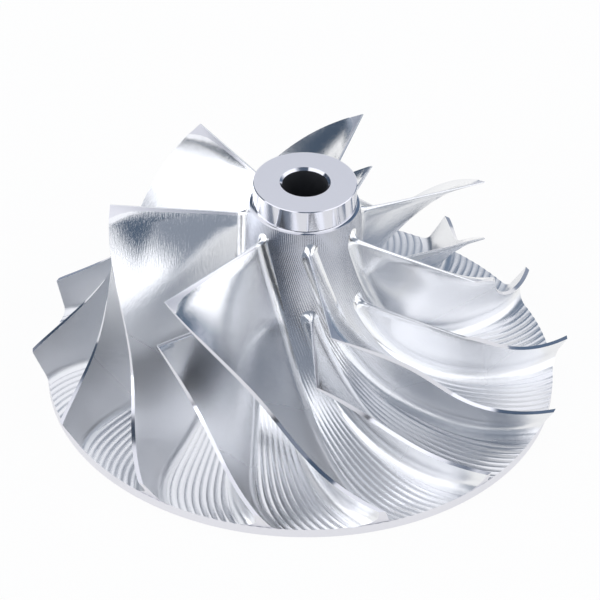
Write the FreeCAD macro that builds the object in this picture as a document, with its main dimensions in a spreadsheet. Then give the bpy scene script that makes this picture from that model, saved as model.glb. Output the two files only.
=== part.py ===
import FreeCAD, Part

import math
import os

import Sketcher

# A compressor wheel milled and turned from one billet of aluminium: a bored hub that sweeps out
# into a thin disc, seven full blades and seven splitter blades between them. The axis is Z, the
# flat back lies in z = 0 and the nose points up. Millimetres and degrees throughout.
#
# Radii and heights are dimensioned from the axis and from the back face, as on a turning
# drawing. Wrap angles are measured about the axis from the leading tip of the first full blade.

Vector = FreeCAD.Vector

SIZES = [
    # bore and nose
    ("bore_radius", 3.175, "quarter inch shaft"),
    ("bore_chamfer", 0.35, "both ends of the bore"),
    ("nose_radius", 7.2, "turned ring that the lock nut bears on"),
    ("nose_height", 33.4, "top of the ring above the back face"),
    ("nose_length", 3.3, "length of the ring"),
    ("nose_chamfer", 0.1, "outer edge of the ring"),
    ("flare_length", 0.22, "cone from the ring down to the neck"),
    ("flare_radius", 7.62, "top of the neck"),
    # hub curve, from the neck to the edge of the disc
    ("neck_radius", 8.0, "hub at the height of the leading edges"),
    ("hub_pull_radius", 8.35, "second control point of the hub curve"),
    ("hub_pull_height", 0.05, "second control point of the hub curve"),
    ("hub_run_radius", 26.4, "third control point of the hub curve"),
    ("hub_run_height", 1.75, "third control point of the hub curve"),
    ("disc_radius", 36.0, "edge of the disc"),
    ("rim_thickness", 1.34, "disc at its edge"),
    # shroud contour, from the inducer to the blade tips at the outlet
    ("inducer_radius", 27.13, "blade tips at the inlet"),
    ("inducer_height", 27.2, "leading edges above the back face"),
    ("shroud_straight", 9.2, "how far the contour's first control point runs down"),
    ("shroud_run_radius", 24.34, "third control point of the contour"),
    ("shroud_run_height", 8.73, "third control point of the contour"),
    ("tip_radius", 38.1, "blade tips at the outlet, past the disc"),
    ("tip_height", 5.17, "upper corner of the blade tips at the outlet"),
    # back face
    ("seat_radius", 8.5, "flat seat round the bore"),
    ("relief_radius", 22.0, "outer edge of the turned relief"),
    ("relief_depth", 0.5, "relief in the back face"),
    ("relief_slope", 1.0, "width of the relief's two sloped walls"),
    # blades
    ("blade_count", 7, "full blades, with as many splitters"),
    ("first_blade_angle", 175.15, "leading tip of the first full blade from +X"),
    ("tip_thickness", 0.55, "blades along the shroud contour"),
    ("root_thickness", 1.1, "blades where they leave the hub"),
    ("edge_thinning", 0.6, "leading edge's share of the thickness"),
    ("thinning_span", 0.2, "share of the blade over which it thins"),
    ("root_fillet", 1.5, "radius that the ball cutter leaves at the root"),
    ("fillet_start", 0.75, "leading edge's share of that radius"),
    ("fillet_span", 0.3, "share of the blade over which it grows"),
    # wrap of the full blade: start, two control angles and end, at tip and root
    ("full_tip_start", 0.0, ""),
    ("full_tip_pull", 37.6, ""),
    ("full_tip_run", 36.75, ""),
    ("full_root_start", -3.45, ""),
    ("full_root_pull", 59.35, ""),
    ("full_root_run", 48.25, ""),
    ("tip_wrap", 60.87, "outlet end of every blade along the contour"),
    ("root_wrap", 62.45, "outlet end of every blade along the hub"),
    # wrap of the splitter, whose leading edge lies further down both curves
    ("splitter_tip_from", 0.3152, "share of the shroud contour that it leaves out"),
    ("splitter_tip_start", 22.07, ""),
    ("splitter_tip_pull", 41.0, ""),
    ("splitter_tip_run", 46.94, ""),
    ("splitter_root_from", 0.1525, "share of the hub curve that it leaves out"),
    ("splitter_root_start", 25.25, ""),
    ("splitter_root_pull", 55.85, ""),
    ("splitter_root_run", 49.05, ""),
    # stock that the turning takes off, and what a blade needs to reach through it
    ("stock", 2.0, "blank left past each turned face"),
    ("blade_overrun", 0.06, "share by which a blade passes the outlet"),
    ("blade_overreach", 1.5, "how far a blade passes the contour"),
]

SECTIONS = 15
FILLET_FLATS = 3
DIVE_ANGLE = math.radians(14.0)
DIVE_DEPTH = 0.15

doc = FreeCAD.newDocument("compressor_wheel")
sheet = doc.addObject("Spreadsheet::Sheet", "Sizes")
for row, (alias, value, note) in enumerate(SIZES, 1):
    sheet.set("A%d" % row, alias.replace("_", " "))
    sheet.set("B%d" % row, repr(value))
    sheet.set("C%d" % row, note)
    sheet.setAlias("B%d" % row, alias)
doc.recompute()


def size(alias):
    return float(sheet.get(alias))


def evaluate(text):
    """Value of a sum of sheet names and numbers, such as 'nose_height - nose_length'."""
    total = 0.0
    sign = 1.0
    for word in text.split():
        if word in "+-":
            sign = 1.0 if word == "+" else -1.0
        else:
            total += sign * (size(word) if word[0].isalpha() else float(word))
    return total


def bound(text):
    """The same sum as an expression on the sheet's cells."""
    words = ["Sizes." + word if word[0].isalpha() else word for word in text.split()]
    return " ".join(words)


def point(corner):
    return Vector(evaluate(corner[0]), evaluate(corner[1]), 0)


def dimension(sketch, name, geometry, position, corner):
    """Dimensions one point of a sketch from the axis and from the back face."""
    for kind, axis, text in (("DistanceX", -2, corner[0]), ("DistanceY", -1, corner[1])):
        if text == "0":
            sketch.addConstraint(Sketcher.Constraint("PointOnObject", geometry, position, axis))
            continue
        value = evaluate(text)
        index = sketch.addConstraint(
            Sketcher.Constraint(kind, -1, 1, geometry, position, value))
        label = name + kind[-1]
        sketch.renameConstraint(index, label)
        sketch.setExpression("Constraints." + label, bound(text))


def turned(name, corners, curves):
    """A body turned from a closed profile. curves gives two control points for a corner
    whose next side is a Bezier curve; every other side is straight."""
    body = doc.addObject("PartDesign::Body", name)
    sketch = body.newObject("Sketcher::SketchObject", name + "_profile")
    plane = [item for item in body.Origin.OriginFeatures if item.Role == "XZ_Plane"][0]
    sketch.AttachmentSupport = [(plane, "")]
    sketch.MapMode = "FlatFace"
    sides = []
    for index, corner in enumerate(corners):
        start = point(corner)
        end = point(corners[(index + 1) % len(corners)])
        if index in curves:
            poles = [start] + [point(pole) for pole in curves[index]] + [end]
            side = Part.BSplineCurve(poles, [4, 4], [0.0, 1.0], False, 3)
        else:
            side = Part.LineSegment(start, end)
        sides.append(sketch.addGeometry(side, False))
    for index, side in enumerate(sides):
        following = sides[(index + 1) % len(sides)]
        sketch.addConstraint(Sketcher.Constraint("Coincident", side, 2, following, 1))
        dimension(sketch, "corner%d" % index, side, 1, corners[index])
    for index, poles in curves.items():
        first = sketch.GeometryCount
        sketch.exposeInternalGeometry(sides[index])
        for number, pole in enumerate(poles, 1):
            dimension(sketch, "pole%d_%d" % (index, number), first + number, 3, pole)
    revolution = body.newObject("PartDesign::Revolution", name + "_revolution")
    revolution.Profile = sketch
    revolution.ReferenceAxis = (sketch, ["V_Axis"])
    revolution.Angle = 360.0
    body.Tip = revolution
    doc.recompute()
    return body


def hub_core():
    """Hub and disc, with stock left on the nose, the back and the edge of the disc."""
    corners = [
        ("0", "0 - stock"),
        ("disc_radius + stock", "0 - stock"),
        ("disc_radius + stock", "rim_thickness"),
        ("disc_radius", "rim_thickness"),
        ("neck_radius", "inducer_height"),
        ("flare_radius", "nose_height - nose_length - flare_length"),
        ("nose_radius", "nose_height - nose_length"),
        ("nose_radius", "nose_height + stock"),
        ("0", "nose_height + stock"),
    ]
    hub_curve = [("hub_run_radius", "hub_run_height"), ("hub_pull_radius", "hub_pull_height")]
    return turned("hub_core", corners, {3: hub_curve})


def turned_blank():
    """What the lathe leaves: nose, bore, back face, disc edge and shroud contour."""
    corners = [
        ("bore_radius", "bore_chamfer"),
        ("bore_radius + bore_chamfer", "0"),
        ("seat_radius", "0"),
        ("seat_radius + relief_slope", "relief_depth"),
        ("relief_radius - relief_slope", "relief_depth"),
        ("relief_radius", "0"),
        ("disc_radius", "0"),
        ("disc_radius", "rim_thickness"),
        ("tip_radius", "tip_height"),
        ("inducer_radius", "inducer_height"),
        ("inducer_radius", "inducer_height + stock"),
        ("nose_radius + stock", "nose_height - nose_chamfer - stock"),
        ("nose_radius - nose_chamfer", "nose_height"),
        ("bore_radius + bore_chamfer", "nose_height"),
        ("bore_radius", "nose_height - bore_chamfer"),
    ]
    contour = [("shroud_run_radius", "shroud_run_height"),
               ("inducer_radius", "inducer_height - shroud_straight")]
    return turned("turned_blank", corners, {8: contour})


def bezier(values, share):
    """Cubic Bezier through its first and last value, at a share of its run."""
    rest = 1.0 - share
    weights = (rest ** 3, 3 * share * rest ** 2, 3 * share ** 2 * rest, share ** 3)
    return sum(weight * value for weight, value in zip(weights, values))


HUB_RADII = [size(name) for name in
             ("neck_radius", "hub_pull_radius", "hub_run_radius", "disc_radius")]
HUB_HEIGHTS = [size(name) for name in
               ("inducer_height", "hub_pull_height", "hub_run_height", "rim_thickness")]
SHROUD_RADII = [size(name) for name in
                ("inducer_radius", "inducer_radius", "shroud_run_radius", "tip_radius")]
SHROUD_HEIGHTS = [size("inducer_height"),
                  size("inducer_height") - size("shroud_straight"),
                  size("shroud_run_height"),
                  size("tip_height")]


def camber_point(radii, heights, wrap, start, share):
    """Point of a blade's camber line that follows the hub curve or the shroud contour."""
    run = start + (1.0 - start) * share
    radius = bezier(radii, run)
    angle = math.radians(size("first_blade_angle") + bezier(wrap, share))
    return Vector(radius * math.cos(angle), radius * math.sin(angle), bezier(heights, run))


def hub_normal(start, share):
    """Outward normal of the hub in the plane of its section, as radial and axial parts."""
    run = start + (1.0 - start) * share
    step = 0.001
    radial = bezier(HUB_RADII, run + step) - bezier(HUB_RADII, run - step)
    axial = bezier(HUB_HEIGHTS, run + step) - bezier(HUB_HEIGHTS, run - step)
    length = math.hypot(radial, axial)
    return -axial / length, radial / length


def grow(start_share, span, share):
    """Smooth growth from a share of the full size at the leading edge to all of it."""
    step = min(max(share / span, 0.0), 1.0)
    return start_share + (1.0 - start_share) * step * step * (3.0 - 2.0 * step)


def half_section(half_root, taper, radius, slope, drop, height):
    """One side of a blade section in its own plane, as (distance from the camber line,
    height above the root) of the tip, the corners of the fillet and the foot that dives
    under the hub's surface. slope and drop give the hub's surface as a line."""
    lean = math.hypot(1.0, taper)
    tilt = math.hypot(1.0, slope)
    centre_y = slope * (half_root + radius * lean) + drop + radius * tilt
    centre_y /= 1.0 - slope * taper
    centre_x = half_root + taper * centre_y + radius * lean
    side_angle = math.atan(-taper)
    foot_angle = math.atan2(1.0, -slope) - DIVE_ANGLE
    points = [(half_root + taper * height, height)]
    for flat in range(FILLET_FLATS + 1):
        angle = side_angle + (foot_angle - side_angle) * flat / FILLET_FLATS
        points.append((centre_x - radius * math.cos(angle), centre_y - radius * math.sin(angle)))
    above = radius * (1.0 - math.cos(DIVE_ANGLE))
    reach = (above + DIVE_DEPTH) / math.sin(DIVE_ANGLE)
    last_x, last_y = points[-1]
    points.append((last_x + reach * math.sin(foot_angle), last_y - reach * math.cos(foot_angle)))
    return points


def blade_section(root_wrap, tip_wrap, root_from, tip_from, share):
    """Closed section of a blade in the plane of its ruling, with both root fillets."""
    step = 0.001
    ends = []
    flows = []
    for radii, heights, wrap, start in ((HUB_RADII, HUB_HEIGHTS, root_wrap, root_from),
                                        (SHROUD_RADII, SHROUD_HEIGHTS, tip_wrap, tip_from)):
        ends.append(camber_point(radii, heights, wrap, start, share))
        flows.append(camber_point(radii, heights, wrap, start, share + step)
                     - camber_point(radii, heights, wrap, start, share - step))
    root, tip = ends
    ruling = tip - root
    length = ruling.Length
    ruling.normalize()
    across = [flow.cross(ruling).normalize() for flow in flows]
    normal = (across[0] + across[1]).normalize()
    radial, axial = hub_normal(root_from, share)
    root_radius = math.hypot(root.x, root.y)
    outward = Vector(radial * root.x / root_radius, radial * root.y / root_radius, axial)
    trace = ruling.cross(normal).cross(outward)
    slope = trace.dot(ruling) / trace.dot(normal)
    bend = radial / root_radius
    thin = grow(size("edge_thinning"), size("thinning_span"), share)
    half_root = 0.5 * size("root_thickness") * thin
    taper = (0.5 * size("tip_thickness") * thin - half_root) / length
    radius = size("root_fillet") * grow(size("fillet_start"), size("fillet_span"), share)
    height = length + size("blade_overreach")
    foot = half_root + radius
    sides = []
    for sign in (1.0, -1.0):
        flat = half_section(half_root, taper, radius, sign * slope - foot * bend,
                            0.5 * foot * foot * bend, height)
        sides.append([root + normal * (sign * x) + ruling * y for x, y in flat])
    right, left = sides
    return Part.makePolygon([left[0]] + right + left[::-1])


def blade(name, root_wrap, tip_wrap, root_from, tip_from):
    """A blade lofted through its sections, past the contour and the outlet."""
    sections = []
    for index in range(SECTIONS):
        share = (1.0 + size("blade_overrun")) * index / (SECTIONS - 1)
        section = doc.addObject("Part::Feature", "%s_section_%02d" % (name, index + 1))
        section.Shape = blade_section(root_wrap, tip_wrap, root_from, tip_from, share)
        sections.append(section)
    loft = doc.addObject("Part::Loft", name)
    loft.Sections = sections
    loft.Solid = True
    loft.Ruled = False
    doc.recompute()
    return loft


def wrap(prefix, end):
    return [size(prefix + "_start"), size(prefix + "_pull"), size(prefix + "_run"), size(end)]


def ring_of(item, offset):
    """The same blade all round the hub, as links turned about the axis."""
    count = int(size("blade_count"))
    links = []
    for index in range(count):
        link = doc.addObject("App::Link", "%s_%d" % (item.Name, index + 1))
        link.LinkedObject = item
        link.Placement = FreeCAD.Placement(Vector(0, 0, 0), Vector(0, 0, 1), 0)
        turn = "360 / Sizes.blade_count * (%d + %s)" % (index, offset)
        link.setExpression("Placement.Rotation.Angle", turn)
        links.append(link)
    return links


def check(objects):
    for item in objects:
        if "Invalid" in item.State or "Error" in item.State:
            raise RuntimeError(item.Label + " did not build")


core = hub_core()
blank = turned_blank()
full_blade = blade("full_blade", wrap("full_root", "root_wrap"), wrap("full_tip", "tip_wrap"),
                   0.0, 0.0)
splitter = blade("splitter", wrap("splitter_root", "root_wrap"),
                 wrap("splitter_tip", "tip_wrap"),
                 size("splitter_root_from"), size("splitter_tip_from"))

milled = doc.addObject("Part::MultiFuse", "milled")
milled.Shapes = [core] + ring_of(full_blade, "0") + ring_of(splitter, "0.5")
wheel = doc.addObject("Part::Common", "wheel")
wheel.Base = milled
wheel.Tool = blank
wheel.Label = "compressor_wheel"
doc.recompute()

check(doc.Objects)
if wheel.Shape.isNull() or not wheel.Shape.isValid() or len(wheel.Shape.Solids) != 1:
    raise RuntimeError("the wheel is not one valid solid")

os.makedirs("parts", exist_ok=True)
wheel.Shape.Solids[0].exportStep("parts/" + wheel.Label + ".step")
print("volume %.1f mm3, faces %d" % (wheel.Shape.Volume, len(wheel.Shape.Faces)))
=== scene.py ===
import math

import bpy
from mathutils import Matrix, Vector


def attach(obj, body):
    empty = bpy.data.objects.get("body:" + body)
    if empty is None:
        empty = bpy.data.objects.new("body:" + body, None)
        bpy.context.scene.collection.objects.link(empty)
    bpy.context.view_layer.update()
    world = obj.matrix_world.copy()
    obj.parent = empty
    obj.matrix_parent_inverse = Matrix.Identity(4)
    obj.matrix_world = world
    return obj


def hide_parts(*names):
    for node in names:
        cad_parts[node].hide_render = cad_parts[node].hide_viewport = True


# Looks of a compressor wheel that is milled and turned from one billet of aluminium.
# Lengths named here are in millimetres and angles in degrees, as on the wheel's drawing;
# MM turns a length into Blender's metres where a mesh, material or camera is made. A share
# is a part of the way along a curve or a blade, from 0 to 1.

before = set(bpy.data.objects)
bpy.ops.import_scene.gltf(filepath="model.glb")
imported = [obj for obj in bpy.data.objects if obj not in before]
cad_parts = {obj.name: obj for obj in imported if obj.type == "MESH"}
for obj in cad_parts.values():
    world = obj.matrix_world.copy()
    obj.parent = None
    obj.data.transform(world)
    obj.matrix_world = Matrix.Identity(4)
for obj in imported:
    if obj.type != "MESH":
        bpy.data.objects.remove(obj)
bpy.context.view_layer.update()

MM = 0.001
BODY = "root"

# bore and nose; the ring of the nose ends in a foot that flares out to the neck
BORE_RADIUS = 3.175
BORE_CHAMFER = 0.35
NOSE_RADIUS = 7.2
NOSE_HEIGHT = 33.4
NOSE_LENGTH = 3.3
NOSE_CHAMFER = 0.1
FLARE_LENGTH = 0.22
FLARE_RADIUS = 7.62
FLARE_POWER = 1.6
# hub curve and shroud contour: radii and heights of their Bezier control points
HUB_RADII = (8.0, 8.35, 26.4, 36.0)
HUB_HEIGHTS = (27.2, 0.05, 1.75, 1.34)
SHROUD_RADII = (27.13, 27.13, 24.34, 38.1)
SHROUD_HEIGHTS = (27.2, 18.0, 8.73, 5.17)
NECK_LENGTH = NOSE_HEIGHT - NOSE_LENGTH - FLARE_LENGTH - HUB_HEIGHTS[0]
# back face
SEAT_RADIUS = 8.5
RELIEF_RADIUS = 22.0
RELIEF_DEPTH = 0.5
RELIEF_SLOPE = 1.0
# blades: wrap angles along the hub and the contour, the shares of both that are left out,
# and the land down the leading edge: its width at the root, what it gains up to the tip,
# and what the tip corner adds
BLADE_COUNT = 7
FIRST_BLADE_ANGLE = 175.15
FULL = {
    "root_wrap": (-3.45, 59.35, 48.25, 62.45),
    "tip_wrap": (0.0, 37.6, 36.75, 60.87),
    "root_from": 0.0,
    "tip_from": 0.0,
    "land": (0.16, 0.5, 0.95),
}
SPLITTER = {
    "root_wrap": (25.25, 55.85, 49.05, 62.45),
    "tip_wrap": (22.07, 41.0, 46.94, 60.87),
    "root_from": 0.1525,
    "tip_from": 0.3152,
    "land": (0.16, 0.12, 0.0),
}
# length of a full blade along its tip; thickness and fillet, with their factors at the
# leading edge and the spans over which these go to 1; and the reach past the turned cone
BLADE_RUN = 45.0
TIP_THICKNESS = 0.55
ROOT_THICKNESS = 1.1
EDGE_THINNING = 0.6
THINNING_SPAN = 0.2
ROOT_FILLET = 1.5
FILLET_START = 1.05
FILLET_SPAN = 0.3
OUTLET_REACH = 0.01
# where a fillet leaves its arc and dives straight under the floor, so that no cusp shows
# a gap; ahead of the leading edge it dives less deep
FOOT_ANGLE = 10.0
FOOT_DEPTH = 0.22
AHEAD_FOOT_DEPTH = 0.08
# leading edges: a bevel down the side that faces down, and a dull land down the side that
# faces up; both are cut a little below the milled flank, except where the root fillet starts
BEVEL_WIDTH = 0.42
LAND_POWER = 2.2
LAND_CORNER_FROM = 0.8
LAND_STEP = 0.07
LAND_STEP_WIDTH = 0.12
LAND_STEP_FROM = 1.2
# cusps that the ball cutter leaves on the floor between the blades, finer up the neck; the
# smooth hub runs at a share of their height
CUSPS_PER_PASSAGE = 13
CUTTER_RADIUS = 1.5
NECK_CUTTER_RADIUS = 0.3
NECK_SHARE = 0.45
CUSP_MIDDLE = 0.6
# fineness of the meshes
CUSP_STEPS = 6
FLARE_STEPS = 4
FLOOR_RINGS = 48
FLOW_STATIONS = 46
NOSE_STATIONS = 6
FLANK_ROWS = 10
FLANK_ROW_POWER = 1.5
FILLET_ROWS = 7
BLADE_SECTIONS = 400
HUB_SHARP_ANGLE = 18.0
BLADE_SHARP_ANGLE = 25.0
MERGE_DISTANCE = 0.0005
# steps and ranges of the numeric searches
SLOPE_STEP = 0.001
CONTOUR_HALVINGS = 24
END_HALVINGS = 14
END_RANGE = (0.9, 1.08)
TOP_ROUNDS = 4
TOP_STEP = 0.02
TOP_LONGEST = 0.5
# places of the finishes in a piece's list of materials
MILLED, FACED, TURNED, BORE = 0, 1, 2, 3
# width of the chart that the patterns on a blade follow, enough for both of its sides
CHART_WIDTH = 60.0

# the white sheet under the wheel: how white it shows, and between which places in front of the
# wheel it fades into the floor that is painted dark ahead of it, a painted shade that the metal
# reflects
FLOOR_SIZE = 6000.0
FLOOR_DROP = 0.2
FLOOR_GLOW = 0.94
SHEET_START = -45.0
SHEET_END = -160.0
# The studio is a tent of panels, far enough away to count as the world. Each panel has its
# middle, given as degrees to the right of straight behind the wheel and degrees up, half its
# width and height, the width of its soft edge, and its light. A later panel covers the
# earlier ones.
TENT_LIGHT = 1.12
TENT_COLOUR = "#FAFBFF"
PANEL_COLOUR = "#AEB8C8"
DARK_PANEL_COLOUR = "#8298B4"
DARK_PANEL_LIGHT = 0.3
PANELS = [
    ("behind the wheel", 0.0, 6.0, 60.0, 28.0, 20.0, 0.4),
    ("left of the middle", -46.0, 12.0, 22.0, 19.0, 8.0, 0.1),
    ("right of the middle", 36.0, 26.0, 13.0, 26.0, 10.0, 0.2),
    ("right shoulder", 53.0, 44.0, 12.0, 17.0, 8.0, 0.15),
    ("left wall", -122.0, 26.0, 42.0, 40.0, 8.0, 1.4),
    ("left wall, low", -104.0, 5.0, 34.0, 13.0, 8.0, 2.4),
    ("left edge", -74.0, 43.0, 9.0, 22.0, 5.0, 0.07),
    ("right wall", 105.0, 22.0, 38.0, 35.0, 8.0, 1.4),
    ("behind the camera", 175.0, 24.0, 27.0, 27.0, 10.0, 0.31),
    ("above the camera", 160.0, 70.0, 36.0, 20.0, 8.0, 0.13),
]
# The camera stands where the photograph's perspective puts it, turned slightly about its
# view. Its lens is given by the photograph's size in pixels.
FOCAL_PIXELS = 3732.36
FRAME_PIXELS = 600.0
SENSOR = 36.0
CAMERA_DISTANCE = 533.9664
CAMERA_ELEVATION = 37.29382
CAMERA_LEFT = 0.3096
CAMERA_UP = 10.2996
CAMERA_ROLL = 1.42667
CLIP_START = 10.0
CLIP_END = 10000.0


def clamp(value):
    return min(max(value, 0.0), 1.0)


def bezier(values, share):
    rest = 1.0 - share
    weights = (rest ** 3, 3 * share * rest ** 2, 3 * share ** 2 * rest, share ** 3)
    return sum(weight * value for weight, value in zip(weights, values))


def slope_of(values, share):
    rise = bezier(values, share + SLOPE_STEP) - bezier(values, share - SLOPE_STEP)
    return rise / (2 * SLOPE_STEP)


def grow(start, span, share):
    """A factor that goes smoothly from its start to 1 over the span."""
    step = clamp(share / span)
    return start + (1.0 - start) * step * step * (3.0 - 2.0 * step)


def halve(low, high, times, holds):
    """The value up to which a test holds, found by halving."""
    for _ in range(times):
        middle = 0.5 * (low + high)
        if holds(middle):
            low = middle
        else:
            high = middle
    return low


def hub_direction(share):
    """Length of the hub curve's run per share, and the direction out of the metal."""
    run_r, run_z = slope_of(HUB_RADII, share), slope_of(HUB_HEIGHTS, share)
    run = math.hypot(run_r, run_z)
    return run, -run_z / run, run_r / run


def contour_radius(height):
    """Radius of the shroud contour at a height."""
    share = halve(0.0, 1.0, CONTOUR_HALVINGS,
                  lambda middle: bezier(SHROUD_HEIGHTS, middle) > height)
    return bezier(SHROUD_RADII, share)


def outlet_radius(height):
    """Radius of the turned cone that ends the blades, and of the rim below it."""
    rim_top = HUB_HEIGHTS[3]
    rise = max(0.0, height - rim_top) / (SHROUD_HEIGHTS[3] - rim_top)
    return HUB_RADII[3] + (SHROUD_RADII[3] - HUB_RADII[3]) * rise


# ---------------------------------------------------------------- meshes

def select_none():
    bpy.ops.object.select_all(action="DESELECT")


def skin(name, rings, sharp_angle, materials, finishes, chart=None):
    """A closed mesh from rings of points. A grid of that size is added, its vertices are
    put where the rings say, each face gets its finish, and the doubled edges are merged.
    The chart gives each point its place on the surface in millimetres, for patterns."""
    rows, columns = len(rings), len(rings[0])
    select_none()
    bpy.ops.mesh.primitive_grid_add(x_subdivisions=columns - 1, y_subdivisions=rows - 1, size=1)
    piece = bpy.context.object
    piece.name = name
    piece.data.name = name
    for material in materials:
        piece.data.materials.append(material)
    flat = [value * MM for ring in rings for place in ring for value in place]
    piece.data.vertices.foreach_set("co", flat)
    piece.data.polygons.foreach_set("material_index", finishes)
    if chart:
        corners = [0] * len(piece.data.loops)
        piece.data.loops.foreach_get("vertex_index", corners)
        places = [value for corner in corners for value in chart[corner]]
        piece.data.uv_layers.active.data.foreach_set("uv", places)
    bpy.ops.object.mode_set(mode="EDIT")
    bpy.ops.mesh.select_all(action="SELECT")
    bpy.ops.mesh.remove_doubles(threshold=MERGE_DISTANCE * MM)
    bpy.ops.mesh.normals_make_consistent(inside=False)
    bpy.ops.object.mode_set(mode="OBJECT")
    bpy.ops.object.shade_smooth_by_angle(angle=math.radians(sharp_angle))
    return piece


def turned_copies(piece, name, offset):
    """The same piece all round the axis, each with its own mesh, turned in its mesh. The
    offset is in pitches of the blades."""
    copies = []
    for index in range(BLADE_COUNT):
        select_none()
        piece.select_set(True)
        bpy.context.view_layer.objects.active = piece
        bpy.ops.object.duplicate(linked=False)
        copy = bpy.context.object
        copy.name = "%s_%d" % (name, index + 1)
        copy.data.name = copy.name
        angle = math.radians(360.0 / BLADE_COUNT * (index + offset))
        copy.data.transform(Matrix.Rotation(angle, 4, "Z"))
        copies.append(copy)
    bpy.data.objects.remove(piece)
    return copies


# ---------------------------------------------------------------- hub

def hub_rings():
    """Rings of the hub from the bore, over the nose, the neck and the milled floor, to the
    rim and the back, and the finish of each face. The floor's columns follow the blades'
    wrap and carry the cusps."""
    cusps = CUSPS_PER_PASSAGE * BLADE_COUNT * 2
    columns = cusps * CUSP_STEPS
    rim_radius, rim_top = HUB_RADII[3], HUB_HEIGHTS[3]
    nose_foot = NOSE_HEIGHT - NOSE_LENGTH
    start_wrap, end_wrap = FULL["root_wrap"][0], FULL["root_wrap"][3]
    rings = []

    def add_ring(wrap, profile):
        """Adds a ring that starts at a wrap angle. The profile gives each column's radius
        and height."""
        ring = []
        for column in range(columns + 1):
            angle = math.radians(FIRST_BLADE_ANGLE + wrap) + 2 * math.pi * column / columns
            radius, height = profile(column)
            ring.append((radius * math.cos(angle), radius * math.sin(angle), height))
        rings.append(ring)

    nose = [(BORE_RADIUS, BORE_CHAMFER),
            (BORE_RADIUS, 0.5 * NOSE_HEIGHT),
            (BORE_RADIUS, NOSE_HEIGHT - BORE_CHAMFER),
            (BORE_RADIUS + BORE_CHAMFER, NOSE_HEIGHT),
            (NOSE_RADIUS - NOSE_CHAMFER, NOSE_HEIGHT),
            (NOSE_RADIUS, NOSE_HEIGHT - NOSE_CHAMFER),
            (NOSE_RADIUS, nose_foot)]
    for number in range(1, FLARE_STEPS + 1):
        share = number / FLARE_STEPS
        nose.append((NOSE_RADIUS + (FLARE_RADIUS - NOSE_RADIUS) * share ** FLARE_POWER,
                     nose_foot - FLARE_LENGTH * share))
    for point in nose:
        add_ring(start_wrap, lambda column: point)

    for number in range(FLOOR_RINGS + 1):
        share = number / FLOOR_RINGS
        radius = bezier(HUB_RADII, share)
        height = bezier(HUB_HEIGHTS, share)
        run, out_r, out_z = hub_direction(share)
        turn = math.radians(slope_of(FULL["root_wrap"], share)) * radius / run
        pitch = 2 * math.pi * radius / cusps / math.hypot(1.0, turn)
        cutter = NECK_CUTTER_RADIUS
        cutter += (CUTTER_RADIUS - NECK_CUTTER_RADIUS) * clamp(share / NECK_SHARE)

        def rise_at(across):
            return cutter - math.sqrt(cutter ** 2 - (across * pitch) ** 2)

        def cusped(column):
            across = (column % CUSP_STEPS) / CUSP_STEPS - 0.5
            proud = rise_at(across) - CUSP_MIDDLE * rise_at(0.5)
            return radius + out_r * proud, height + out_z * proud

        add_ring(bezier(FULL["root_wrap"], share), cusped)

    back = [(rim_radius, 0.5 * rim_top),
            (rim_radius, 0.0),
            (RELIEF_RADIUS, 0.0),
            (RELIEF_RADIUS - RELIEF_SLOPE, RELIEF_DEPTH),
            (SEAT_RADIUS + RELIEF_SLOPE, RELIEF_DEPTH),
            (SEAT_RADIUS, 0.0),
            (BORE_RADIUS + BORE_CHAMFER, 0.0),
            (BORE_RADIUS, BORE_CHAMFER)]
    pitch_angle = 360.0 / columns
    turns = round((end_wrap - start_wrap) / pitch_angle)
    for point in back:
        add_ring(start_wrap + turns * pitch_angle, lambda column: point)
    # the last ring closes on the first, which starts a whole number of columns earlier
    first = rings[0][:-1]
    shift = turns % columns
    rings[-1] = first[shift:] + first[:shift] + [first[shift]]

    kinds = [BORE, BORE, TURNED, FACED, TURNED, TURNED] + [TURNED] * FLARE_STEPS
    kinds += [MILLED] * (FLOOR_RINGS + 1)
    kinds += [FACED] * (len(back) - 1) + [BORE]
    return rings, [kind for kind in kinds for _ in range(columns)]


# ---------------------------------------------------------------- blades

def camber(radii, heights, wrap, start, share):
    """Point at a share of a blade's root or tip, on the hub curve or the contour."""
    run = start + (1.0 - start) * share
    radius = bezier(radii, run)
    angle = math.radians(FIRST_BLADE_ANGLE + bezier(wrap, share))
    return Vector((radius * math.cos(angle), radius * math.sin(angle), bezier(heights, run)))


def station(kind, share):
    """Root, ruling, its length, the blade's normal, the flow at root and tip, the slope,
    bend and fall of the hub, thinning and fillet, at a share of the blade."""
    ends, flows = [], []
    for radii, heights, wrap, start in (
            (HUB_RADII, HUB_HEIGHTS, kind["root_wrap"], kind["root_from"]),
            (SHROUD_RADII, SHROUD_HEIGHTS, kind["tip_wrap"], kind["tip_from"])):
        ends.append(camber(radii, heights, wrap, start, share))
        flow = camber(radii, heights, wrap, start, share + SLOPE_STEP)
        flow -= camber(radii, heights, wrap, start, share - SLOPE_STEP)
        flows.append(flow.normalized())
    root, tip = ends
    ruling = (tip - root).normalized()
    normal = flows[0].cross(ruling).normalized() + flows[1].cross(ruling).normalized()
    normal.normalize()
    _, out_r, out_z = hub_direction(kind["root_from"] + (1.0 - kind["root_from"]) * share)
    root_radius = math.hypot(root.x, root.y)
    outward = Vector((out_r * root.x / root_radius, out_r * root.y / root_radius, out_z))
    trace = ruling.cross(normal).cross(outward)
    return {
        "root": root, "ruling": ruling, "length": (tip - root).length, "normal": normal,
        "flows": flows,
        "slope": trace.dot(ruling) / trace.dot(normal), "bend": out_r / root_radius,
        "fall": 0.0 if kind["root_from"] else (HUB_RADII[0] - FLARE_RADIUS) / NECK_LENGTH,
        "thin": grow(EDGE_THINNING, THINNING_SPAN, share),
        "fillet": ROOT_FILLET * grow(FILLET_START, FILLET_SPAN, share),
    }


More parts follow.
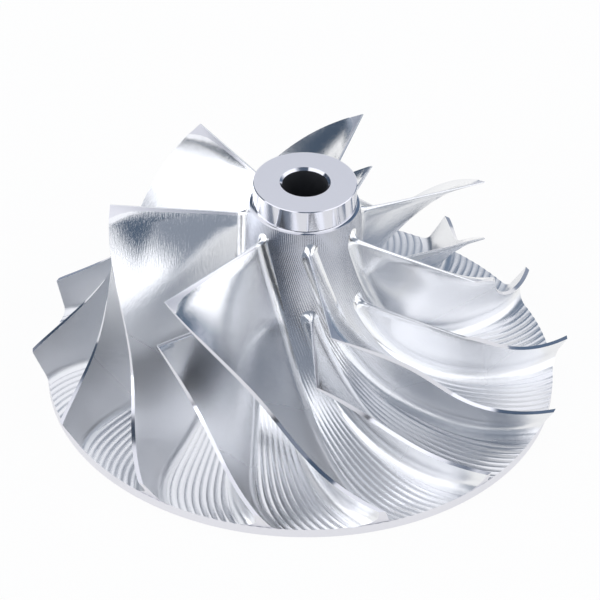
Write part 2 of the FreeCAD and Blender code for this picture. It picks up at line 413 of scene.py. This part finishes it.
def half_section(at, side, forward=0.0):
    """One side of the section in its plane, from the foot under the floor up to the
    contour, as distances from the camber line and heights above the root. Side is 1 to the
    right and -1 to the left. Round the leading edge the plane turns ahead step by step;
    side and forward are its sine and cosine, and the neck falls away ahead of the edge."""
    half_root = 0.5 * ROOT_THICKNESS * at["thin"]
    taper = (0.5 * TIP_THICKNESS * at["thin"] - half_root) / at["length"]

    # the fillet is an arc that touches the flank and the line of the floor
    radius = at["fillet"]
    foot = half_root + radius
    bend = side * side * at["bend"]
    slope = side * at["slope"] - foot * bend - forward * at["fall"]
    drop = 0.5 * foot * foot * bend
    lean, tilt = math.hypot(1.0, taper), math.hypot(1.0, slope)
    centre_y = slope * (half_root + radius * lean) + drop + radius * tilt
    centre_y /= 1.0 - slope * taper
    centre_x = half_root + taper * centre_y + radius * lean
    dive = math.radians(FOOT_ANGLE)
    side_angle = math.atan(-taper)
    foot_angle = math.atan2(1.0, -slope) - dive
    arc = []
    for row in range(FILLET_ROWS + 1):
        angle = side_angle + (foot_angle - side_angle) * row / FILLET_ROWS
        arc.append((centre_x - radius * math.cos(angle), centre_y - radius * math.sin(angle)))
    depth = FOOT_DEPTH + (AHEAD_FOOT_DEPTH - FOOT_DEPTH) * forward * forward
    reach = (radius * (1.0 - math.cos(dive)) + depth) / math.sin(dive)
    last_x, last_y = arc[-1]
    arc.append((last_x + reach * math.sin(foot_angle), last_y - reach * math.cos(foot_angle)))
    arc.reverse()

    def outside(height):
        """How far a point at a height of the flank lies outside the contour."""
        place = at["root"] + at["normal"] * side * (half_root + taper * height) \
            + at["ruling"] * height
        return math.hypot(place.x, place.y) - contour_radius(place.z)

    top = at["length"]
    for _ in range(TOP_ROUNDS):
        rate = (outside(top + TOP_STEP) - outside(top - TOP_STEP)) / (2 * TOP_STEP)
        top -= max(-TOP_LONGEST, min(TOP_LONGEST, outside(top) / rate))
    base = arc[-1][1]
    for row in range(1, FLANK_ROWS + 1):
        part = 1.0 - (1.0 - row / FLANK_ROWS) ** FLANK_ROW_POWER
        height = base + (top - base) * part
        arc.append((half_root + taper * height, height))
    return arc


def section(kind, share):
    """The station at a share of a blade, and both sides of its section."""
    at = station(kind, share)
    return at, (half_section(at, 1.0), half_section(at, -1.0))


def land_width(kind, facing_up, part):
    """Width of the land or bevel down the leading edge, at a part of the way up to the tip."""
    if not facing_up:
        return BEVEL_WIDTH
    base, growth, corner = kind["land"]
    near_corner = max(0.0, (part - LAND_CORNER_FROM) / (1.0 - LAND_CORNER_FROM))
    return base + growth * part ** LAND_POWER + corner * near_corner ** 2


def land_step(height):
    """How far the land lies below the flank at a height above the root."""
    return LAND_STEP * clamp(height / LAND_STEP_FROM - 1.0)


def blade_rings(kind):
    """Rings round a blade, from the line down its leading edge to the line down its
    trailing edge, the finish of each face, and the chart for its patterns. Each ring runs
    up the right side, over the tip and down the left."""
    levels = FILLET_ROWS + FLANK_ROWS + 2
    blade_run = BLADE_RUN * (1.0 - kind["tip_from"])
    first_share = 0.5 * TIP_THICKNESS * EDGE_THINNING / blade_run
    first, first_sides = section(kind, first_share)
    right_up = first["normal"].z > 0.0
    rings, chart = [], []

    def closed(right, left):
        return right + left[::-1] + [right[0]]

    def add_ring(lines, spreads):
        """Adds a ring. The left side's chart is mirrored, so that its pattern differs."""
        rings.append(closed(*lines))
        chart.append(closed(spreads[0], [(CHART_WIDTH - up, run) for up, run in spreads[1]]))

    # the rounded leading edge
    for number in range(NOSE_STATIONS):
        angle = 0.5 * math.pi * number / NOSE_STATIONS
        lines, spreads = [], []
        for sign in (1.0, -1.0):
            side, forward = sign * math.sin(angle), math.cos(angle)
            line, spread = [], []
            for width, height in half_section(first, side, forward):
                width -= land_step(height)
                part = clamp(height / first["length"])
                flow = first["flows"][0] * (1.0 - part) + first["flows"][1] * part
                line.append(first["root"] + first["ruling"] * height
                            + first["normal"] * (side * width)
                            - flow.normalized() * (forward * width))
                spread.append((height, -forward * width))
            lines.append(line)
            spreads.append(spread)
        add_ring(lines, spreads)

    sections = {}

    def section_point(side, level, share, sunk):
        """Point of a line along the flank at a share of the blade, and its height."""
        key = round(share, 7)
        if key not in sections:
            sections[key] = section(kind, key)
        at, sides = sections[key]
        width, height = sides[side][level]
        if sunk:
            width -= land_step(height)
        sign = (1.0, -1.0)[side]
        return at["root"] + at["normal"] * sign * width + at["ruling"] * height, height

    def line_point(side, level, share, sunk):
        """The same at any share, between two sections of the blade."""
        number = math.floor(share * BLADE_SECTIONS)
        weight = share * BLADE_SECTIONS - number
        near, near_height = section_point(side, level, number / BLADE_SECTIONS, sunk)
        far, far_height = section_point(side, level, (number + 1) / BLADE_SECTIONS, sunk)
        return near.lerp(far, weight), near_height + (far_height - near_height) * weight

    def line_end(side, level):
        """Share at which a line along the flank meets the turned cone or the rim."""
        def within(share):
            place, _ = section_point(side, level, share, False)
            return math.hypot(place.x, place.y) < outlet_radius(place.z) + OUTLET_REACH

        return halve(*END_RANGE, END_HALVINGS, within)

    # the land or bevel, the step up to the flank, and the flank
    ends = [[line_end(side, level) for level in range(levels)] for side in (0, 1)]
    for number in range(-2, FLOW_STATIONS + 1):
        lines, spreads = [], []
        for side in (0, 1):
            line, spread = [], []
            for level in range(levels):
                part = clamp(first_sides[side][level][1] / first["length"])
                share = first_share
                if number > -2:
                    share += land_width(kind, (side == 0) == right_up, part) / blade_run
                if number > -1:
                    share += LAND_STEP_WIDTH / blade_run
                    share += (ends[side][level] - share) * number / FLOW_STATIONS
                place, height = line_point(side, level, share, number < 0)
                line.append(place)
                spread.append((height, share * blade_run))
            lines.append(line)
            spreads.append(spread)
        add_ring(lines, spreads)
    last = rings[-1]
    middle = [(last[level] + last[2 * levels - 1 - level]) * 0.5 for level in range(levels)]
    rings.append(closed(middle, middle))
    chart.append(chart[-1])

    finishes = []
    for row in range(len(rings) - 1):
        for column in range(2 * levels):
            on_flank = min(column, 2 * levels - 2 - column) > FILLET_ROWS
            facing_up = (column < levels) == right_up
            on_land = row == NOSE_STATIONS and facing_up and on_flank
            on_outlet = row == len(rings) - 2
            if column == levels - 1:
                finishes.append(TURNED)
            elif on_land or on_outlet:
                finishes.append(FACED)
            else:
                finishes.append(MILLED)
    return rings, finishes, [place for row in chart for place in row]


# ---------------------------------------------------------------- materials

def rgb(text):
    """Linear colour from an sRGB hex value."""
    values = [int(text[index:index + 2], 16) / 255.0 for index in (1, 3, 5)]
    linear = [v / 12.92 if v <= 0.04045 else ((v + 0.055) / 1.055) ** 2.4 for v in values]
    return (*linear, 1.0)


def node(tree, kind, inputs=(), **settings):
    """Adds a node, sets it up and links or fills its inputs."""
    made = tree.nodes.new(kind)
    for name, value in settings.items():
        setattr(made, name, value)
    for key, value in dict(inputs).items():
        if isinstance(value, bpy.types.NodeSocket):
            tree.links.new(value, made.inputs[key])
        else:
            made.inputs[key].default_value = value
    return made


def new_material(name, values):
    """A material with these values on its shader. Metals keep the default IOR."""
    material = bpy.data.materials.new(name)
    material.use_nodes = True
    tree = material.node_tree
    shader = tree.nodes["Principled BSDF"]
    for key, value in values.items():
        shader.inputs[key].default_value = value
    return material, tree, shader


def add_grain(tree, shader, noise, strength, depth):
    """Bumps a surface with noise. The depth is in millimetres."""
    grain = node(tree, "ShaderNodeTexNoise", noise).outputs["Fac"]
    bump = node(tree, "ShaderNodeBump", {"Height": grain, "Strength": strength,
                                         "Distance": depth * MM})
    tree.links.new(bump.outputs[0], shader.inputs["Normal"])


def object_place(tree):
    return node(tree, "ShaderNodeTexCoord").outputs["Object"]


def milled_flank():
    """Milled aluminium: the cutter runs along the blade and leaves a bright face with fine
    broken lines, brightest near the leading edge and duller where it sank deep between the
    blades. The chart that both follow is in millimetres: up the blade, and along it."""
    material, tree, shader = new_material("milled_blade_aluminium", {
        "Base Color": rgb("#F0F1F3"), "Metallic": 1.0})
    place = node(tree, "ShaderNodeUVMap", uv_map="UVMap").outputs["UV"]
    along_blade = node(tree, "ShaderNodeSeparateXYZ", {0: place}).outputs["Y"]
    dulled = node(tree, "ShaderNodeMapRange", {"Value": along_blade, "From Min": 5.0,
                                               "From Max": 20.0, "To Min": 0.12,
                                               "To Max": 0.28})
    tree.links.new(dulled.outputs[0], shader.inputs["Roughness"])
    # seven lines to a millimetre up the blade, each about a millimetre long
    lines = node(tree, "ShaderNodeMapping", {"Vector": place, "Scale": (7.0, 0.9, 1.0)})
    add_grain(tree, shader, {"Vector": lines.outputs[0], "Scale": 1.0, "Detail": 3.0,
                             "Roughness": 0.65}, strength=0.75, depth=0.03)
    return material


def milled_floor():
    """Ball-milled aluminium: bright troughs between cusps, with faint chatter of 0.2 mm in
    them. Up the neck the cusps stand close together and hold the light back; this shade is
    painted into the base colour, which is darker from 13 mm to 24 mm above the back."""
    material, tree, shader = new_material("milled_floor_aluminium", {
        "Metallic": 1.0, "Roughness": 0.17})
    place = object_place(tree)
    add_grain(tree, shader, {"Vector": place, "Scale": 5.0 / MM, "Detail": 2.0},
              strength=0.6, depth=0.02)
    # painted shade: the base colour goes from #E6E7EA to #B8BBC3 up the neck, from 13 mm to 24
    # mm, for the light that the close cusps hold back
    height = node(tree, "ShaderNodeSeparateXYZ", {0: place}).outputs["Z"]
    neck = node(tree, "ShaderNodeMapRange", {"Value": height, "From Min": 13.0 * MM,
                                             "From Max": 24.0 * MM})
    painted_neck_shade = node(tree, "ShaderNodeMix", {0: neck.outputs[0], 6: rgb("#E6E7EA"),
                                         7: rgb("#B8BBC3")}, data_type="RGBA")
    tree.links.new(painted_neck_shade.outputs[2], shader.inputs["Base Color"])
    return material


def faced_top():
    """Faced aluminium: the lathe tool leaves a paler, finely matt face."""
    material, tree, shader = new_material("faced_aluminium", {
        "Base Color": rgb("#E6E6EC"), "Metallic": 1.0, "Roughness": 0.36})
    add_grain(tree, shader, {"Vector": object_place(tree), "Scale": 6.0 / MM, "Detail": 2.0},
              strength=0.6, depth=0.02)
    return material


def turned_side():
    """Turned aluminium: a fine feed leaves grooves round the axis, so that reflections are
    sharp round the ring and drawn out along its height."""
    material, tree, shader = new_material("turned_aluminium", {
        "Base Color": rgb("#DCDDE4"), "Metallic": 1.0, "Roughness": 0.1, "Anisotropic": 0.7,
        "Anisotropic Rotation": 0.25})
    axis = node(tree, "ShaderNodeTangent", direction_type="RADIAL", axis="Z")
    tree.links.new(axis.outputs[0], shader.inputs["Tangent"])
    return material


def reamed_bore():
    """Reamed aluminium with its base colour painted dark, as painted shade, so that the inside
    of the bore shows almost black.
    """
    # painted shade: a dark grey base colour stands in for the shade inside the bore
    material, tree, shader = new_material("reamed_bore_painted_shade_aluminium", {
        "Base Color": rgb("#8C8E94"), "Metallic": 1.0, "Roughness": 0.45})
    add_grain(tree, shader, {"Vector": object_place(tree), "Scale": 3.0 / MM, "Detail": 2.0},
              strength=0.2, depth=0.02)
    return material


# ---------------------------------------------------------------- the wheel

flank_metal, floor_metal = milled_flank(), milled_floor()
faced_metal, turned_metal, bore_metal_painted_shade = faced_top(), turned_side(), reamed_bore()

rings, finishes = hub_rings()
hub = skin("hub", rings, HUB_SHARP_ANGLE,
           [floor_metal, faced_metal, turned_metal, bore_metal_painted_shade], finishes)
blades = []
for name, kind, offset in (("full_blade", FULL, 0.0), ("splitter_blade", SPLITTER, 0.5)):
    rings, finishes, chart = blade_rings(kind)
    blade = skin(name, rings, BLADE_SHARP_ANGLE, [flank_metal, faced_metal, turned_metal],
                 finishes, chart)
    blades += turned_copies(blade, name, offset)

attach(hub, BODY)
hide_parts("compressor_wheel")
for blade in blades:
    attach(blade, BODY)


# ---------------------------------------------------------------- floor, studio, camera

def math_node(tree, operation, *values):
    return node(tree, "ShaderNodeMath", enumerate(values), operation=operation).outputs[0]


def floor_material():
    """White sheet on a table. The camera sees it white, darkened only by the shadow. The metal
    sees it end in front of the wheel; beyond it the floor is painted dark, as painted shade for
    the dark of the room, which the metal reflects."""
    material, tree, shader = new_material("studio_floor", {"Roughness": 0.9})
    ahead = node(tree, "ShaderNodeSeparateXYZ", {0: object_place(tree)}).outputs["Y"]
    sheet = node(tree, "ShaderNodeMapRange", {"Value": ahead, "From Min": SHEET_END * MM,
                                              "From Max": SHEET_START * MM}).outputs[0]
    # painted shade: ahead of the sheet the floor's colour goes to #22252B and its glow for
    # glossy rays fades out, so that the metal reflects a dark that stands for the room
    colour = node(tree, "ShaderNodeMix", {0: sheet, 6: rgb("#22252B"), 7: rgb("#F4F4F5")},
                  data_type="RGBA").outputs[2]
    tree.links.new(colour, shader.inputs["Base Color"])
    rays = node(tree, "ShaderNodeLightPath").outputs
    mirrored = math_node(tree, "MULTIPLY", rays["Is Glossy Ray"], sheet)
    seen = math_node(tree, "MAXIMUM", rays["Is Camera Ray"], mirrored)
    seen = math_node(tree, "MAXIMUM", seen, rays["Is Transmission Ray"])
    share = math_node(tree, "MULTIPLY", seen, FLOOR_GLOW)
    glow = node(tree, "ShaderNodeEmission", {"Color": rgb("#FFFFFF"), "Strength": 1.0})
    mixed = node(tree, "ShaderNodeMixShader", {0: share, 1: shader.outputs[0],
                                               2: glow.outputs[0]})
    tree.links.new(mixed.outputs[0], tree.nodes["Material Output"].inputs["Surface"])
    return material


select_none()
bpy.ops.mesh.primitive_plane_add(size=FLOOR_SIZE * MM, location=(0, 0, -FLOOR_DROP * MM))
floor = bpy.context.object
floor.name = "floor"
floor.data.materials.append(floor_material())


def build_studio():
    """The world with its tent and panels. Each panel is mixed over what is there."""
    world = bpy.data.worlds.new("studio")
    bpy.context.scene.world = world
    world.use_nodes = True
    sky = world.node_tree
    sky.nodes.clear()
    look = node(sky, "ShaderNodeTexCoord").outputs["Generated"]

    def along(azimuth, elevation):
        """How far the look goes towards a bearing."""
        a, e = math.radians(azimuth), math.radians(elevation)
        towards = (math.sin(a) * math.cos(e), math.cos(a) * math.cos(e), math.sin(e))
        return node(sky, "ShaderNodeVectorMath", {0: look, 1: towards},
                    operation="DOT_PRODUCT").outputs["Value"]

    def inside(angle, middle, half, soft):
        """1 where the angle is within half of the middle, fading to 0 over the soft edge."""
        apart = math_node(sky, "SUBTRACT", angle, math.radians(middle))
        apart = math_node(sky, "ABSOLUTE", apart)
        fade = node(sky, "ShaderNodeMapRange",
                    {"Value": apart, "From Min": math.radians(half - 0.5 * soft),
                     "From Max": math.radians(half + 0.5 * soft), "To Min": 1.0, "To Max": 0.0},
                    interpolation_type="SMOOTHSTEP")
        return fade.outputs[0]

    def lit(colour, light):
        return tuple(light * part for part in colour[:3]) + (1.0,)

    up_angle = math_node(sky, "ARCSINE", along(0.0, 90.0))
    tent, panel, dark_panel = rgb(TENT_COLOUR), rgb(PANEL_COLOUR), rgb(DARK_PANEL_COLOUR)
    glow = lit(tent, TENT_LIGHT)
    for _, azimuth, elevation, half_width, half_height, soft, light in PANELS:
        turn = math_node(sky, "ARCTAN2", along(azimuth + 90.0, 0.0), along(azimuth, 0.0))
        cover = math_node(sky, "MULTIPLY", inside(turn, 0.0, half_width, soft),
                          inside(up_angle, elevation, half_height, soft))
        hue = tent if light > 1.0 else panel if light > DARK_PANEL_LIGHT else dark_panel
        glow = node(sky, "ShaderNodeMix", {0: cover, 6: glow, 7: lit(hue, light / hue[1])},
                    data_type="RGBA").outputs[2]
    background = node(sky, "ShaderNodeBackground", {"Color": glow, "Strength": 1.0})
    node(sky, "ShaderNodeOutputWorld", {"Surface": background.outputs[0]})


def place_camera():
    elevation, roll = math.radians(CAMERA_ELEVATION), math.radians(CAMERA_ROLL)
    right = Vector((1.0, 0.0, 0.0))
    up = Vector((0.0, math.sin(elevation), math.cos(elevation)))
    back = Vector((0.0, -math.cos(elevation), math.sin(elevation)))
    turned_right = right * math.cos(roll) + up * math.sin(roll)
    turned_up = up * math.cos(roll) - right * math.sin(roll)
    place = up * CAMERA_UP - right * CAMERA_LEFT + back * CAMERA_DISTANCE
    bpy.ops.object.camera_add()
    camera = bpy.context.object
    camera.data.sensor_width = SENSOR
    camera.data.lens = FOCAL_PIXELS / FRAME_PIXELS * SENSOR
    camera.data.clip_start = CLIP_START * MM
    camera.data.clip_end = CLIP_END * MM
    camera.matrix_world = Matrix.Translation(place * MM) @ Matrix(
        (turned_right, turned_up, back)).transposed().to_4x4()
    bpy.context.scene.camera = camera


build_studio()
place_camera()
bpy.context.scene.view_settings.view_transform = "Standard"
